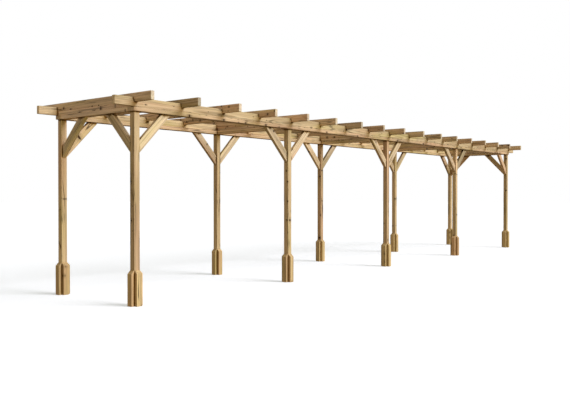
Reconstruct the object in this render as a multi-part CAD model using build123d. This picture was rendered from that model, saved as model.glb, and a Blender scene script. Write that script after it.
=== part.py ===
"""Long timber pergola: two rows of five posts under plates, side beams and seventeen rafters.

Millimetres, +Z up.  X runs along the rows from the left end to the right end, Y runs across
from the front row to the back row, and the ground is Z = 0 under the middle of the frame.
"""
from build123d import *
import os

# --- set-out -----------------------------------------------------------------------------
BAY = 2505.0
BAYS = 4
ROW_SPACING = 1295.0
CLEAR_HEIGHT = 2000.0

# --- timber sizes ------------------------------------------------------------------------
POST_SIDE = 70.0
PLATE_WIDTH = 105.0
PLATE_DEPTH = 45.0
BEAM_THICKNESS = 45.0
BEAM_DEPTH = 90.0
BEAM_OVERHANG = 290.0
RAFTER_THICKNESS = 45.0
RAFTER_DEPTH = 90.0
RAFTER_LENGTH = 1930.0
BRACE_THICKNESS = 45.0
BRACE_WIDTH = 90.0
BRACE_REACH = 435.0

# --- rafter seats ------------------------------------------------------------------------
NOTCH_DEPTH = 45.0
NOTCH_PLAY = 0.5
RAFTERS_PER_BAY = 4
# How far the rafters of the later bays stand to the right of even spacing, bay by bay.
LATER_BAY_OFFSETS = [8.0, 18.0, 5.0, 0.0]
# How far a cutting block runs past the timber that it is taken from.
CUT_OVERRUN = 5.0

# --- post feet ---------------------------------------------------------------------------
FOOT_HEIGHT = 370.0
FOOT_BOARD_THICKNESS = 38.0
FOOT_BOARD_WIDTH = 68.0

# --- levels and lines that follow from the sizes above -----------------------------------
row_length = BAY * BAYS
post_lines = [BAY * i - row_length / 2 for i in range(BAYS + 1)]
front_line = -ROW_SPACING / 2
back_line = ROW_SPACING / 2
plate_top = CLEAR_HEIGHT + PLATE_DEPTH
beam_top = plate_top + BEAM_DEPTH
rafter_bottom = beam_top - NOTCH_DEPTH
half_plate = PLATE_WIDTH / 2
plate_outer = ROW_SPACING / 2 + half_plate
plate_inner = ROW_SPACING / 2 - half_plate
beam_inner = plate_outer - BEAM_THICKNESS
brace_cut = BRACE_WIDTH * 2 ** 0.5

# Left faces of the rafters.  The first stands flush with the left face of the plates; every
# rafter over a later post line stands flush with the right edge of its cross plate.
first_rafter = post_lines[0] - half_plate
line_rafters = [x + half_plate - RAFTER_THICKNESS for x in post_lines[1:]]
first_bay_step = (line_rafters[0] - first_rafter) / RAFTERS_PER_BAY
later_bay_step = BAY / RAFTERS_PER_BAY
rafter_bays = [[first_rafter + first_bay_step * i for i in range(RAFTERS_PER_BAY + 1)]]
for start in line_rafters[:-1]:
    steps = enumerate(LATER_BAY_OFFSETS, 1)
    rafter_bays.append([start + later_bay_step * i + offset for i, offset in steps])
rafter_faces = [x for bay in rafter_bays for x in bay]


def block(x0, x1, y0, y1, z0, z1):
    """A square-cut timber between two corners."""
    return Pos((x0 + x1) / 2, (y0 + y1) / 2, (z0 + z1) / 2) * Box(x1 - x0, y1 - y0, z1 - z0)


def post(x, y):
    half = POST_SIDE / 2
    return block(x - half, x + half, y - half, y + half, 0, CLEAR_HEIGHT)


def foot_boards(x, y):
    """Four short boards, one on each face of a post, each sloped back to the post at its top."""
    shoulder = FOOT_HEIGHT - FOOT_BOARD_THICKNESS
    outline = Polyline(
        (0, 0, 0),
        (FOOT_BOARD_THICKNESS, 0, 0),
        (FOOT_BOARD_THICKNESS, 0, shoulder),
        (0, 0, FOOT_HEIGHT),
        close=True,
    )
    board = extrude(make_face(outline), amount=FOOT_BOARD_WIDTH / 2, both=True)
    seated = Pos(POST_SIDE / 2, 0, 0) * board
    return [Pos(x, y, 0) * Rot(0, 0, quarter * 90) * seated for quarter in range(4)]


def brace(x, y, turn):
    """A 45 degree brace from a post face up to the underside of the plate.

    turn is the bearing the brace leans towards, in degrees from +X.
    """
    foot_low = CLEAR_HEIGHT - BRACE_REACH
    outline = Polyline(
        (0, 0, foot_low),
        (BRACE_REACH, 0, CLEAR_HEIGHT),
        (BRACE_REACH - brace_cut, 0, CLEAR_HEIGHT),
        (0, 0, foot_low + brace_cut),
        close=True,
    )
    stick = extrude(make_face(outline), amount=BRACE_THICKNESS / 2, both=True)
    return Pos(x, y, 0) * Rot(0, 0, turn) * Pos(POST_SIDE / 2, 0, 0) * stick


def side_plate(side):
    """Flat plate over a row of posts; side is -1 for the front row and 1 for the back row."""
    ys = sorted([side * plate_inner, side * plate_outer])
    return block(post_lines[0] - half_plate, post_lines[-1] + half_plate, *ys, CLEAR_HEIGHT, plate_top)


def side_beam(side):
    """Beam on edge along the outer edge of a plate, notched for every rafter."""
    ys = sorted([side * beam_inner, side * plate_outer])
    x0 = post_lines[0] - BEAM_OVERHANG
    x1 = post_lines[-1] + BEAM_OVERHANG
    beam = block(x0, x1, *ys, plate_top, beam_top)
    for face in rafter_faces:
        left = face - NOTCH_PLAY
        right = face + RAFTER_THICKNESS + NOTCH_PLAY
        y0 = ys[0] - CUT_OVERRUN
        y1 = ys[1] + CUT_OVERRUN
        beam -= block(left, right, y0, y1, rafter_bottom, beam_top + CUT_OVERRUN)
    return beam


def cross_plate(x):
    return block(x - half_plate, x + half_plate, -plate_inner, plate_inner, CLEAR_HEIGHT, plate_top)


def rafter_packer(face):
    """Batten filling the space between a cross plate and the rafter over it."""
    return block(face, face + RAFTER_THICKNESS, -beam_inner, beam_inner, plate_top, rafter_bottom)


def rafter(face):
    half = RAFTER_LENGTH / 2
    top = rafter_bottom + RAFTER_DEPTH
    return block(face, face + RAFTER_THICKNESS, -half, half, rafter_bottom, top)


nodes = {}
rows = [("front", front_line, -1), ("back", back_line, 1)]
for row, y, side in rows:
    for number, x in enumerate(post_lines, 1):
        nodes[f"{row}_post_{number}"] = [post(x, y)]
        nodes[f"{row}_foot_boards_{number}"] = foot_boards(x, y)
    for number in range(1, BAYS + 1):
        left, right = post_lines[number - 1:number + 1]
        nodes[f"{row}_braces_bay_{number}"] = [brace(left, y, 0), brace(right, y, 180)]
    nodes[f"{row}_plate"] = [side_plate(side)]
    nodes[f"{row}_beam"] = [side_beam(side)]

for end, x in [("left", post_lines[0]), ("right", post_lines[-1])]:
    nodes[f"{end}_end_braces"] = [brace(x, front_line, 90), brace(x, back_line, -90)]

for number, x in enumerate(post_lines, 1):
    nodes[f"cross_plate_{number}"] = [cross_plate(x)]

nodes["rafter_packers"] = [rafter_packer(face) for face in [first_rafter] + line_rafters]
for number, faces in enumerate(rafter_bays, 1):
    nodes[f"rafters_bay_{number}"] = [rafter(face) for face in faces]

os.makedirs("parts", exist_ok=True)
for name, solids in nodes.items():
    shape = solids[0] if len(solids) == 1 else Compound(children=solids)
    export_step(shape, f"parts/{name}.step")
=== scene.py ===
"""Looks of the long timber pergola: planed, pressure-treated softwood on a pale studio floor.

Every timber starts as a copy of its CAD solid, gets eased edges, and is told how it lay in the
log that it was sawn from, so that rings, knots and end grain run through it as in real wood.
Metres, in the frame of the CAD model.
"""
import math
import random

import bmesh
import bpy
from mathutils import Matrix, Vector
from mathutils.bvhtree import BVHTree


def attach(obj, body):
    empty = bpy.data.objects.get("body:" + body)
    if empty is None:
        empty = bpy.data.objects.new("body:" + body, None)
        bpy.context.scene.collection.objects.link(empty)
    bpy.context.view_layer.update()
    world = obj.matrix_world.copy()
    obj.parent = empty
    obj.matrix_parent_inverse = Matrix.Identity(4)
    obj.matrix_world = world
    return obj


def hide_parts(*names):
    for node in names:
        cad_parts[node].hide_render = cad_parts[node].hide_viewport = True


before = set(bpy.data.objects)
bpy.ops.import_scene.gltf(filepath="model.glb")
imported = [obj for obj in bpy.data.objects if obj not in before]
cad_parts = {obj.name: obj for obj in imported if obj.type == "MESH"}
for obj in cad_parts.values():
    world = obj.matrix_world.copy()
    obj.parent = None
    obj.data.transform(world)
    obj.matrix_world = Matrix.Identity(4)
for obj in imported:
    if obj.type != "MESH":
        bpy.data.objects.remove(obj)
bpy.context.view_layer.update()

# --- how the timber is dressed ----------------------------------------------------------------
ARRIS = 0.003
ARRIS_SEGMENTS = 2
MERGE_DISTANCE = 1e-5
CUT_DISTANCE = 1e-6
FLAT_ANGLE = math.radians(1)
SQUARE_COSINE = 0.01
END_GRAIN_COSINE = 0.6

# --- painted shade where timbers shelter one another ------------------------------------------
# The shelter of a point is 0 in the open, and grows with what stands close in front of it.  The
# sides that the frame covers get SHELTER_BELOW more.  The finish turns it into painted shade:
# sheltered wood is drawn darker and deeper in colour, as the shade of its neighbours.
SHELTER_STEP = 0.03
SHELTER_MARGIN = 0.012
SHELTER_REACH = 0.06
SHELTER_RAYS = 24
SHELTER_LIFT = 0.0008
SHELTER_COVERED = 0.7
SHELTER_BELOW = 0.245
SHELTER_RANGE = (0.13, 0.42)
# Painted shade: how much deeper in colour and how much darker sheltered wood is drawn.
SHELTER_DEPTH = 1.3
SHELTER_SHADE = 0.57
UNDERSIDE_COSINE = 0.9
BRACE_TOP_COSINE = 0.6
BRACE_FRONT_COSINE = 0.3

# --- the log behind each timber ---------------------------------------------------------------
LOG_RUN = 60.0
LOG_SWING = 2.0
PITH_NEAR = 0.035
PITH_FAR = 0.085
TONE_SPREAD = 0.1
TRUNK_BENDS = (0.9, 5, 5)
TRUNK_WANDER = (0, 0.022, 0.022)
RING_WIDTH = 0.0042
RING_UNEVENNESS = 3.0
# How dark the wood gets as a year goes on, from 0 to 1.
RING_GROWTH = [(0.0, 0.0), (0.45, 0.1), (0.82, 1.0), (0.95, 0.8), (1.0, 0.0)]
# Grains a metre, out from the pith and along the timber.
UNEVEN_YEARS = (60, 0.4)
BANDS = (60, 0.45)
SLOW_YEARS = (36, 0.6)
FINE_YEARS = (95, 0.8)
# The noise is 0 along the middle of a line or crack, whose edge lies between these two values.
SLOW_YEAR_EDGE = (0.003, 0.018)
FINE_YEAR_EDGE = (0.004, 0.03)
CRACK_EDGE = (0.008, 0.024)
# A timber is cracked where a second noise is past these values.
CRACK_STRETCH = (0.06, 0.14)

# --- knots ------------------------------------------------------------------------------------
KNOT_SPACING = 0.13
KNOT_SCATTER = 0.6
# Each cell of the lattice draws a number from 0 to 1, and those past the middle get a knot.
KNOT_DRAW = (0.48, 0.52)
KNOT_RADIUS = 0.0125
KNOT_SMALLEST = 0.3
KNOT_ARC = 0.06
KNOT_NEAREST_PITH = 0.03
KNOT_BORDER = 0.2
KNOT_PUSH = 1.2
# In knot radii from the middle of the knot.
HEART_EDGE = (0.8, 1.05)
BARK_START = (0.55, 0.9)
BARK_END = (1.05, 1.5)
BENT_GRAIN_EDGE = (0.4, 1.9)
# The bent grain reaches further along the timber than round it.
SWIRL_ALONG = 0.09
SWIRL_ROUND = 0.6

# --- unevenness of the wood -------------------------------------------------------------------
# Grains a metre along, across and through a timber.
FIBRES = (7, 260, 260)
STREAKS = (1.6, 48, 48)
PATCHES = (0.9, 9, 9)
DRIFT = (0.45, 1.5, 1.5)
TINGE = (1.3, 7, 7)
RAGGED_EDGE = (30, 90, 90)
# Metres.
TINGE_SHIFT = (7.3, 3.1, 1.7)
EDGE_WEAR = 0.006
WORN_THROUGH = 0.0005

# --- strength of each mark on the wood --------------------------------------------------------
LATE_WOOD = 0.62
ROSY_SHARE = 0.5
MOSSY_SHARE = 0.45
END_BLEACH = 0.55
LINE_DARKNESS = 0.5
FINE_LINE_DARKNESS = 0.2
BENT_GRAIN_DARKNESS = 0.3
WORN_LIGHT = 0.12
HEART_SHARE = 0.9
BARK_SHARE = 0.85
CRACK_SHARE = 0.8
ROUGHNESS = 0.82
GLOSS = 0.03

# --- relief in the surface --------------------------------------------------------------------
BUMP_STRENGTH = 0.7
RING_RELIEF = 0.00012
FIBRE_RELIEF = 0.0003
BARK_RELIEF = 0.0004
CRACK_RELIEF = 0.0012
LINE_RELIEF = 0.0002

# --- the light and the view -------------------------------------------------------------------
KEY_BEARING = math.radians(20)
KEY_HEIGHT = math.radians(36)
KEY_SPREAD = math.radians(40)
KEY_STRENGTH = 2.79
KEY_COLOUR = (0.845, 0.885, 1)
OVERHEAD = (0.22, 0.18, 0.08, 1)
HORIZON = (0.59, 0.5, 0.53, 1)
HORIZON_BEHIND = (1.3, 1.18, 1.05, 1)
GROUND = (0.07, 0.04, 0.003, 1)
GROUND_IN_FRONT = (1.5, 1.12, 0.33, 1)
# Heights, -1 straight down to 1 straight up, where one part of the surround gives way to the next.
SUNLIT_FADE = (-0.8, -0.25)
HORIZON_FADE = (-0.25, 0.08)
OVERHEAD_FADE = (0.12, 0.45)
FLOOR_COLOUR = (1.0, 0.95, 0.92, 1)
FLOOR_GLOW = (0.345, 0.41, 0.47, 1)
FLOOR_HALF = 80.0
WHITE = (1, 1, 1, 1)
FRONT = (0, -1, 0)
BACK = (0, 1, 0)
VIEW_PLACE = (-9.533, -6.295, 1.150)
VIEW_TURN = math.radians(39.003 - 90)
VIEW_TILT = math.radians(90 - 0.497)
VIEW_LENS = 43.455

# Socket numbers of a Mix node that mixes colours.
COLOUR_A, COLOUR_B, COLOUR_OUT = 6, 7, 2

# The kind of each timber, by the first of these words that its node's name holds, and a finish slot name for
# each kind.
SLOTS = {
    "post": "post_timber",
    "foot": "foot_timber",
    "brace": "brace_timber",
    "cross_plate": "plate_timber",
    "plate": "plate_timber",
    "packer": "beam_timber",
    "beam": "beam_timber",
    "rafter": "rafter_timber",
}


# --- shader maths -----------------------------------------------------------------------------
class Value:
    """One shader socket; plain arithmetic on it adds Math nodes."""

    def __init__(self, finish, socket):
        self.finish = finish
        self.socket = socket

    def math(self, operation, *others):
        inputs = dict(enumerate([self, *others]))
        return self.finish.node("ShaderNodeMath", {"operation": operation}, inputs)

    def __add__(self, other):
        return self.math("ADD", other)

    __radd__ = __add__

    def __mul__(self, other):
        return self.math("MULTIPLY", other)

    __rmul__ = __mul__

    def __sub__(self, other):
        return self.math("SUBTRACT", other)

    def __rsub__(self, other):
        return self * -1.0 + other

    def __truediv__(self, other):
        return self.math("DIVIDE", other)

    def __abs__(self):
        return self.math("ABSOLUTE")

    def least(self, other):
        return self.math("MINIMUM", other)

    def most(self, other):
        return self.math("MAXIMUM", other)

    def smooth(self, low, high):
        """0 up to low, 1 from high, and a smooth step between."""
        inputs = {"Value": self, "From Min": low, "From Max": high}
        return self.finish.node("ShaderNodeMapRange", {"interpolation_type": "SMOOTHSTEP"}, inputs)


class Finish:
    """A node tree under construction, for a material or the world."""

    def __init__(self, owner):
        owner.use_nodes = True
        self.tree = owner.node_tree
        self.tree.nodes.clear()

    def node(self, kind, settings=None, inputs=None, output=0):
        """Any node: its settings first, then the values and links of its sockets."""
        made = self.tree.nodes.new(kind)
        for name, setting in (settings or {}).items():
            if name == "stops":
                self.set_stops(made.color_ramp, setting)
            else:
                setattr(made, name, setting)
        for name, value in (inputs or {}).items():
            if isinstance(value, Value):
                self.tree.links.new(value.socket, made.inputs[name])
            else:
                made.inputs[name].default_value = value
        return Value(self, made.outputs[output]) if made.outputs else made

    def set_stops(self, ramp, stops):
        while len(ramp.elements) < len(stops):
            ramp.elements.new(1.0)
        for element, (place, grey) in zip(ramp.elements, stops):
            element.position = place
            element.color = (grey, grey, grey, 1.0)

    def attribute(self, name):
        return self.node("ShaderNodeAttribute", {"attribute_name": name}, output="Vector")

    def share(self, name):
        return self.node("ShaderNodeAttribute", {"attribute_name": name}, output="Fac")

    def split(self, vector):
        return [self.node("ShaderNodeSeparateXYZ", None, {0: vector}, axis) for axis in range(3)]

    def join(self, x, y, z=0.0):
        return self.node("ShaderNodeCombineXYZ", None, {0: x, 1: y, 2: z})

    def vector(self, operation, first, second, output=0):
        inputs = {0: first, 1: second}
        return self.node("ShaderNodeVectorMath", {"operation": operation}, inputs, output)

    def scaled(self, vector, factor):
        inputs = {"Vector": vector, "Scale": factor}
        return self.node("ShaderNodeVectorMath", {"operation": "SCALE"}, inputs)

    def noise(self, place, stretch=(1, 1, 1), detail=1.0):
        """Cloudy noise, from about -0.5 to 0.5, with its grains 1 / stretch metres long."""
        inputs = {"Vector": self.vector("MULTIPLY", place, stretch), "Scale": 1.0, "Detail": detail}
        return self.node("ShaderNodeTexNoise", None, inputs) - 0.5

    def blend(self, share, first, second):
        inputs = {0: share, COLOUR_A: first, COLOUR_B: second}
        return self.node("ShaderNodeMix", {"data_type": "RGBA"}, inputs, COLOUR_OUT)


def colour(red, green, blue):
    """A colour as a paint chart gives it, 0 to 255, as shader light."""
    parts = [part / 255 for part in (red, green, blue)]
    return (*[p / 12.92 if p <= 0.04045 else ((p + 0.055) / 1.055) ** 2.4 for p in parts], 1.0)


# --- the wood ---------------------------------------------------------------------------------
ROSY = colour(209, 163, 132)
MOSSY = colour(198, 189, 118)
PALE_END = colour(238, 219, 184)
KNOT_HEART = colour(66, 34, 15)
KNOT_BARK = colour(28, 14, 6)
CRACK_DIRT = colour(54, 32, 16)


def place_in_trunk(wood, log):
    """Metres along a log, across it and through it, measured from a pith that wanders a little."""
    inputs = {"Vector": wood.vector("MULTIPLY", log, TRUNK_BENDS), "Scale": 1.0, "Detail": 1.0}
    bends = wood.node("ShaderNodeTexNoise", None, inputs, "Color")
    centred = wood.vector("SUBTRACT", bends, (0.5, 0.5, 0.5))
    return wood.split(wood.vector("ADD", log, wood.vector("MULTIPLY", centred, TRUNK_WANDER)))


def knots_in(wood, along, bearing, depth):
    """Knots of a log: their hearts, their bark, the grain bent round them, and how far it is moved.

    along, bearing and depth place a point in the log: metres along it, the angle round its pith,
    and metres out from the pith.
    """
    lattice = wood.join(along / KNOT_SPACING, bearing * (KNOT_ARC / KNOT_SPACING))
    cells = {"voronoi_dimensions": "2D"}
    inputs = {"Vector": lattice, "Scale": 1.0, "Randomness": KNOT_SCATTER}
    centre = wood.node("ShaderNodeTexVoronoi", cells, inputs, "Position")
    lot = wood.node("ShaderNodeTexVoronoi", cells, inputs, "Color")
    borders = {**cells, "feature": "DISTANCE_TO_EDGE"}
    apart = wood.node("ShaderNodeTexVoronoi", borders, inputs, "Distance").smooth(0.0, KNOT_BORDER)
    drawn, size, _ = wood.split(lot)
    present = drawn.smooth(*KNOT_DRAW)
    radius = (size * size * (1.0 - KNOT_SMALLEST) + KNOT_SMALLEST) * KNOT_RADIUS
    length, arc, _ = wood.split(wood.scaled(wood.vector("SUBTRACT", lattice, centre), KNOT_SPACING))
    length = length / radius
    arc = arc * (depth.most(KNOT_NEAREST_PITH) / KNOT_ARC) / radius
    reach = (length * length + arc * arc).math("SQRT")
    swirl = (length * length * SWIRL_ALONG + arc * arc * SWIRL_ROUND).math("SQRT")
    core = (1.0 - reach.smooth(*HEART_EDGE)) * present
    rim = reach.smooth(*BARK_START) * (1.0 - reach.smooth(*BARK_END)) * present
    bend = (1.0 - swirl.smooth(*BENT_GRAIN_EDGE)) * apart * present
    return core, rim, bend, bend * radius


def noise_by_year(wood, grown, along, grains, layer=0.0, detail=1.0):
    """Noise that follows the years of a log. Each layer is another, unlike noise."""
    outward, lengthwise = grains
    place = wood.join(grown * outward, along * lengthwise, layer)
    return wood.noise(place, detail=detail)


def rings_in(wood, grown, along):
    """Yearly rings: 0 in the early wood of a year, 1 in its dark late wood."""
    unevenness = noise_by_year(wood, grown, along, UNEVEN_YEARS) * RING_UNEVENNESS
    years = grown / RING_WIDTH + unevenness
    return wood.node("ShaderNodeValToRGB", {"stops": RING_GROWTH}, {0: years.math("FRACT")})


def dark_years_in(wood, grown, along):
    """Slow, resinous years, each a thin dark line along the timber, and finer ones between them."""
    slow_year = abs(noise_by_year(wood, grown, along, SLOW_YEARS, layer=9.0))
    fine_year = abs(noise_by_year(wood, grown, along, FINE_YEARS, layer=5.0))
    return 1.0 - slow_year.smooth(*SLOW_YEAR_EDGE), 1.0 - fine_year.smooth(*FINE_YEAR_EDGE)


def cracks_in(wood, grown, along, bearing):
    """Thin drying cracks that follow the fibres for part of a timber's length."""
    line = abs(wood.noise(wood.join(along * 0.8, bearing * 4.0, grown * 4)))
    stretch = wood.noise(wood.join(along * 1.7, bearing, 4.0)).smooth(*CRACK_STRETCH)
    return (1.0 - line.smooth(*CRACK_EDGE)) * stretch


def wear_on(wood, log):
    """1 on a timber's worn edges, 0 on its faces."""
    place = wood.attribute("place")
    distance = wood.node("ShaderNodeVectorMath", {"operation": "ABSOLUTE"}, {0: place})
    inset = wood.vector("SUBTRACT", wood.attribute("half_size"), distance)
    first, second, third = wood.split(inset)
    # On a face the least of the three is nothing, and near an edge the middle one is small as well.
    middle = first.least(second).most(first.most(second).least(third))
    ragged = wood.noise(log, RAGGED_EDGE, 2.0) * EDGE_WEAR
    return 1.0 - (middle + ragged).smooth(WORN_THROUGH, EDGE_WEAR)


def timber_finish(name, early, late, end_tone=PALE_END, knots=1.0, lines=1.0):
    """Softwood sawn from a log, coloured early in each year's growth and late.

    knots and lines tell how strongly its knots and its dark years show.
    """
    material = bpy.data.materials.new(name)
    wood = Finish(material)
    log = wood.attribute("log")
    along, across, through = place_in_trunk(wood, log)
    bearing = through.math("ARCTAN2", across)
    radius = (across * across + through * through).math("SQRT")
    core, rim, bend, shift = knots_in(wood, along, bearing, radius)
    grown = radius + shift * KNOT_PUSH
    ring = rings_in(wood, grown, along)
    dark_line, fine_line = dark_years_in(wood, grown, along)
    crack = cracks_in(wood, grown, along, bearing)
    worn = wear_on(wood, log)
    lightness, warmth, _ = wood.split(wood.attribute("character"))
    end = wood.share("end_grain")

    # Uneven tone, from broad bands of years down to single fibres.
    bands = noise_by_year(wood, grown, along, BANDS, detail=2.0)
    fibres = wood.noise(log, FIBRES, 2.0)
    streaks = wood.noise(log, STREAKS, 2.0)
    drift = wood.noise(log, DRIFT)
    patches = wood.noise(log, PATCHES)
    tinge = wood.noise(wood.vector("ADD", log, TINGE_SHIFT), TINGE)

    base = wood.blend(ring * (LATE_WOOD - end * 0.1), early, late)
    rosy = (patches * 2.4 + warmth * 0.45 + 0.2).smooth(0.0, 1.0)
    base = wood.blend(rosy * ROSY_SHARE, base, ROSY)
    mossy = (tinge * 2.6 + 0.1).smooth(0.0, 0.8)
    base = wood.blend(mossy * MOSSY_SHARE, base, MOSSY)
    base = wood.blend(end * END_BLEACH, base, end_tone)
    light = lightness * (1.0 + bands * 0.9 + streaks * 0.7 + fibres * 0.3 + drift * 0.5)
    lined = (dark_line * LINE_DARKNESS + fine_line * FINE_LINE_DARKNESS) * (1.0 - end) * lines
    light = light * (1.0 - bend * BENT_GRAIN_DARKNESS) * (1.0 - lined) * (1.0 + worn * WORN_LIGHT)
    base = wood.scaled(base, light)

    # Painted shade: sheltered wood is drawn deeper in colour and darker, as the shade of its neighbours.
    painted_shade = wood.share("shelter").smooth(*SHELTER_RANGE)
    deeper = {"Color": base, "Gamma": painted_shade * SHELTER_DEPTH + 1.0}
    base = wood.node("ShaderNodeGamma", None, deeper)
    base = wood.scaled(base, 1.0 - painted_shade * SHELTER_SHADE)
    base = wood.blend(core * (HEART_SHARE * knots), base, KNOT_HEART)
    base = wood.blend(rim * (BARK_SHARE * knots), base, KNOT_BARK)
    base = wood.blend(crack * CRACK_SHARE, base, CRACK_DIRT)

    roughness = ROUGHNESS - ring * 0.08 + fibres * 0.12 + end * 0.14 - core * 0.12
    height = ring * RING_RELIEF + fibres * FIBRE_RELIEF - rim * BARK_RELIEF
    height = height - crack * CRACK_RELIEF - dark_line * LINE_RELIEF
    bump = {"Strength": BUMP_STRENGTH, "Distance": 1.0, "Height": height}
    normal = wood.node("ShaderNodeBump", None, bump)
    shader = wood.node("ShaderNodeBsdfPrincipled", None, {
        "Base Color": base, "Roughness": roughness, "Specular IOR Level": GLOSS, "Normal": normal})
    wood.node("ShaderNodeOutputMaterial", None, {"Surface": shader})
    return material


# --- timbers from the CAD solids --------------------------------------------------------------
def linked_verts(start, waiting):
    """The vertices that hang together with start, taken out of those waiting."""
    group = [start]
    waiting.remove(start)
    for vert in group:
        neighbours = [edge.other_vert(vert) for edge in vert.link_edges]
        fresh = [other for other in neighbours if other in waiting]
        waiting.difference_update(fresh)
        group.extend(dict.fromkeys(fresh))
    return group


def solids_of(node):
    """The solids of a CAD node, each as a bmesh with its flat faces made whole."""
    whole = bmesh.new()
    whole.from_mesh(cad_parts[node].data)
    bmesh.ops.remove_doubles(whole, verts=whole.verts[:], dist=MERGE_DISTANCE)
    bmesh.ops.dissolve_limit(whole, angle_limit=FLAT_ANGLE, verts=whole.verts[:], edges=whole.edges[:])
    solids = []
    waiting = set(whole.verts)
    for start in whole.verts[:]:
        if start not in waiting:
            continue
        kept = {vert.index for vert in linked_verts(start, waiting)}
        solid = whole.copy()
        others = [vert for vert in solid.verts if vert.index not in kept]
        bmesh.ops.delete(solid, geom=others, context="VERTS")
        solids.append(solid)
    whole.free()
    return solids


def timber_axes(solid):
    """Unit vectors along, across and through a timber, from its longest edge and its broadest."""
    runs = sorted((edge.verts[1].co - edge.verts[0].co for edge in solid.edges), key=lambda run: -run.length)
    along = runs[0].normalized()
    across = next(run for run in runs if abs(run.normalized().dot(along)) < SQUARE_COSINE).normalized()
    return Matrix((along, across, along.cross(across)))


def ease_edges(solid):
    """Planed arrises: every outer corner of a timber gets a small round."""
    corners = [edge for edge in solid.edges if edge.is_convex]
    bmesh.ops.bevel(solid, geom=corners, affect="EDGES", offset=ARRIS, segments=ARRIS_SEGMENTS,
                    profile=0.5, material=-1)


def cut_up(solid, axes, low, high):
    """Cross cuts along a timber and beside its edges, so that it can hold the shelter of its corners."""
    steps = int((high[0] - low[0]) / SHELTER_STEP)
    cuts = [(0, low[0] + (high[0] - low[0]) * step / steps) for step in range(1, steps)]
    for side in (1, 2):
        cuts += [(side, low[side] + SHELTER_MARGIN), (side, high[side] - SHELTER_MARGIN)]
    for side, place in cuts:
        everything = solid.verts[:] + solid.edges[:] + solid.faces[:]
        bmesh.ops.bisect_plane(solid, geom=everything, dist=CUT_DISTANCE,
                               plane_co=axes[side] * place, plane_no=axes[side])


def write_vectors(mesh, name, vectors):
    layer = mesh.attributes.new(name, "FLOAT_VECTOR", "POINT")
    layer.data.foreach_set("vector", [part for vector in vectors for part in vector])


def write_wood(mesh, name, axes, low, high):
    """What a timber's finish has to know: where it lay in its log, its ends and its own tone."""
    chance = random.Random(name)
    swing = chance.uniform(-LOG_SWING, LOG_SWING)
    pith = chance.uniform(PITH_NEAR, PITH_FAR)
    cut = Vector((chance.uniform(0, LOG_RUN), pith * math.cos(swing), pith * math.sin(swing)))
    tone = random.Random(f"tone of {name}")
    character = Vector((tone.gauss(1.0, TONE_SPREAD), tone.uniform(-1, 1), 0))
    places = [axes @ vert.co - (low + high) / 2 for vert in mesh.vertices]
    write_vectors(mesh, "place", places)
    write_vectors(mesh, "log", [place + cut for place in places])
    write_vectors(mesh, "half_size", [(high - low) / 2] * len(places))
    write_vectors(mesh, "character", [character] * len(places))
    ends = mesh.attributes.new("end_grain", "FLOAT", "FACE")
    for face, end in zip(mesh.polygons, ends.data):
        end.value = 1.0 if abs(face.normal.dot(axes[0])) > END_GRAIN_COSINE else 0.0


def timber(name, node, solid, kind):
    """One timber as a piece, from a solid of its CAD node."""
    axes = timber_axes(solid)
    turned = [axes @ vert.co for vert in solid.verts]
    low = Vector(min(part) for part in zip(*turned))
    high = Vector(max(part) for part in zip(*turned))
    ease_edges(solid)
    cut_up(solid, axes, low, high)
    mesh = bpy.data.meshes.new(name)
    solid.to_mesh(mesh)
    solid.free()
    write_wood(mesh, name, axes, low, high)
    mesh.materials.append(finishes[kind])

    piece = bpy.data.objects.new(name, mesh)
    bpy.context.scene.collection.objects.link(piece)
    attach(piece, "root")
    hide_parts(node)
    return piece


# --- shelter ----------------------------------------------------------------------------------
def whole_tree(pieces):
    """All pieces as one searchable surface."""
    points = []
    faces = []
    for piece in pieces:
        first = len(points)
        points += [vert.co.copy() for vert in piece.data.vertices]
        faces += [[first + corner for corner in face.vertices] for face in piece.data.polygons]
    return BVHTree.FromPolygons(points, faces)


def ray_fan():
    """Rays over the upper half of a ball, closer together where they rise more steeply."""
    golden = math.pi * (3 - math.sqrt(5))
    fan = []
    for number in range(SHELTER_RAYS):
        rise = math.sqrt((number + 0.5) / SHELTER_RAYS)
        level = math.sqrt(1 - rise * rise)
        fan.append(Vector((level * math.cos(golden * number), level * math.sin(golden * number), rise)))
    return fan


def measure_shelter(mesh, surface, fan):
    """The shelter of each point of a mesh, from what the rays that leave it meet close by."""
    turns = {}
    shelter = []
    for vert in mesh.vertices:
        normal = vert.normal
        key = (round(normal.x, 2), round(normal.y, 2), round(normal.z, 2))
        if key not in turns:
            turn = normal.to_track_quat("Z", "Y")
            turns[key] = [turn @ ray for ray in fan]
        start = vert.co + normal * SHELTER_LIFT
        blocked = 0.0
        for ray in turns[key]:
            distance = surface.ray_cast(start, ray, SHELTER_REACH)[3]
            if distance is not None:
                blocked += 1.0 - distance / SHELTER_REACH
        shelter.append(blocked / SHELTER_RAYS)
    return shelter


def uncover(mesh, shelter):
    """Points covered by the next timber take the shelter of those in the open beside them."""
    beside = {}
    for edge in mesh.edges:
        for covered, other in (edge.vertices, reversed(edge.vertices)):
            if shelter[covered] > SHELTER_COVERED >= shelter[other]:
                beside.setdefault(covered, []).append(shelter[other])
    for covered, others in beside.items():
        shelter[covered] = sum(others) / len(others)


def under_cover(piece, normal):
    """True on the sides that get more painted shade: undersides, and the tops of braces along the rows,
    which the frame covers.
    """
    top_of_brace = ("brace" in piece.name and normal.z > BRACE_TOP_COSINE
                    and abs(normal.y) < BRACE_FRONT_COSINE)
    return normal.z < -UNDERSIDE_COSINE or top_of_brace


def write_shelter(pieces):
    """How much the timbers close by shelter each point, which the finish draws as painted shade; the covered
    sides get more.
    """
    surface = whole_tree(pieces)
    fan = ray_fan()
    for piece in pieces:
        shelter = measure_shelter(piece.data, surface, fan)
        uncover(piece.data, shelter)
        for vert in piece.data.vertices:
            if under_cover(piece, vert.normal):
                shelter[vert.index] += SHELTER_BELOW
        layer = piece.data.attributes.new("shelter", "FLOAT", "POINT")
        layer.data.foreach_set("value", shelter)


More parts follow.
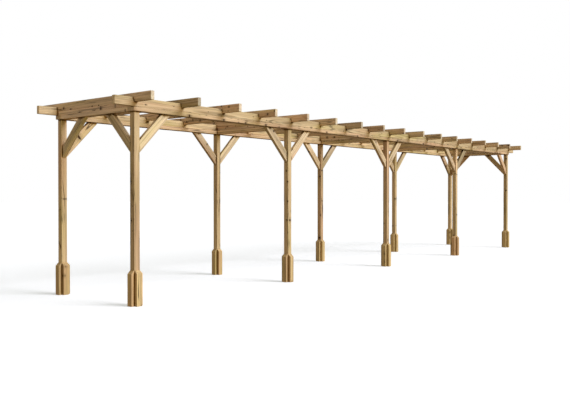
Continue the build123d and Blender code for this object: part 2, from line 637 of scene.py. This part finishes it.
# --- the pergola ------------------------------------------------------------------------------
end_wood = timber_finish("end_wood", colour(253, 232, 206), colour(197, 163, 129))
finishes = {
    "post": timber_finish("post_wood", colour(240, 218, 175), colour(188, 150, 101)),
    "foot": timber_finish("foot_wood", colour(228, 206, 156), colour(178, 144, 88),
                          end_tone=colour(212, 181, 131), knots=0.4, lines=0.3),
    "brace": timber_finish("brace_wood", colour(231, 213, 180), colour(181, 150, 108), lines=0.6),
    "cross_plate": end_wood,
    "plate": timber_finish("plate_wood", colour(236, 210, 171), colour(183, 148, 108)),
    "packer": end_wood,
    "beam": timber_finish("beam_wood", colour(218, 198, 160), colour(167, 137, 96)),
    "rafter": timber_finish("rafter_wood", colour(237, 215, 185), colour(184, 151, 114),
                            end_tone=colour(200, 198, 179)),
}

timbers = []
for node in sorted(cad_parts):
    kind = next(kind for kind in SLOTS if kind in node)
    solids = solids_of(node)
    for number, solid in enumerate(solids, 1):
        name = f"{node}_timber" if len(solids) == 1 else f"{node}_timber_{number}"
        timbers.append(timber(name, node, solid, kind))
write_shelter(timbers)


# --- studio -----------------------------------------------------------------------------------
def seen_directly(studio):
    """1 for the rays that show the background itself, 0 for those that light the object by it."""
    kinds = ["Is Camera Ray", "Is Glossy Ray", "Is Transmission Ray"]
    camera, glossy, clear = [studio.node("ShaderNodeLightPath", output=kind) for kind in kinds]
    return camera.most(glossy).most(clear)


def studio_floor():
    """Pale floor: white to look at, with the object's shadow on it.

    It gives the object no light itself: the ground in the surround does.
    """
    mesh = bpy.data.meshes.new("studio_floor")
    sheet = bmesh.new()
    bmesh.ops.create_grid(sheet, x_segments=1, y_segments=1, size=FLOOR_HALF)
    sheet.to_mesh(mesh)
    sheet.free()
    material = bpy.data.materials.new("studio_floor")
    paper = Finish(material)
    white = paper.node("ShaderNodeBsdfPrincipled", None, {
        "Base Color": FLOOR_COLOUR, "Roughness": 1.0, "Specular IOR Level": 0.0,
        "Emission Color": FLOOR_GLOW, "Emission Strength": 1.0})
    paper.node("ShaderNodeOutputMaterial", None, {"Surface": white})
    mesh.materials.append(material)
    floor = bpy.data.objects.new("studio_floor", mesh)
    floor.visible_diffuse = False
    floor.visible_shadow = False
    bpy.context.scene.collection.objects.link(floor)


def studio_light():
    """A big soft lamp high in front, a little to the right, in a surround that is light all round.

    The ground in front is sunlit, the sky overhead is dim, and low behind the object it is brighter.
    """
    lamp = bpy.data.lights.new("key", "SUN")
    lamp.energy = KEY_STRENGTH
    lamp.color = KEY_COLOUR
    lamp.angle = KEY_SPREAD
    key = bpy.data.objects.new("key", lamp)
    level = math.cos(KEY_HEIGHT)
    source = Vector((math.sin(KEY_BEARING) * level, -math.cos(KEY_BEARING) * level, math.sin(KEY_HEIGHT)))
    key.rotation_euler = source.to_track_quat("Z", "Y").to_euler()
    bpy.context.scene.collection.objects.link(key)
    world = bpy.data.worlds.new("surround")
    bpy.context.scene.world = world
    surround = Finish(world)
    outward = surround.node("ShaderNodeTexCoord", output="Generated")
    in_front = surround.vector("DOT_PRODUCT", outward, FRONT, "Value").most(0.0)
    behind = surround.vector("DOT_PRODUCT", outward, BACK, "Value").most(0.0)
    _, _, height = surround.split(outward)
    sunlit = in_front * in_front * height.smooth(*SUNLIT_FADE)
    ground = surround.blend(sunlit, GROUND, GROUND_IN_FRONT)
    horizon = surround.blend(behind * behind, HORIZON, HORIZON_BEHIND)
    light = surround.blend(height.smooth(*HORIZON_FADE), ground, horizon)
    light = surround.blend(height.smooth(*OVERHEAD_FADE), light, OVERHEAD)
    light = surround.blend(seen_directly(surround), light, WHITE)
    shell = surround.node("ShaderNodeBackground", None, {"Color": light, "Strength": 1.0})
    surround.node("ShaderNodeOutputWorld", None, {"Surface": shell})


def studio_camera():
    lens = bpy.data.cameras.new("view")
    lens.lens = VIEW_LENS
    lens.clip_end = 2 * FLOOR_HALF
    camera = bpy.data.objects.new("view", lens)
    camera.location = VIEW_PLACE
    camera.rotation_euler = (VIEW_TILT, 0, VIEW_TURN)
    bpy.context.scene.collection.objects.link(camera)
    bpy.context.scene.camera = camera


studio_floor()
studio_light()
studio_camera()
bpy.context.scene.view_settings.view_transform = "Standard"
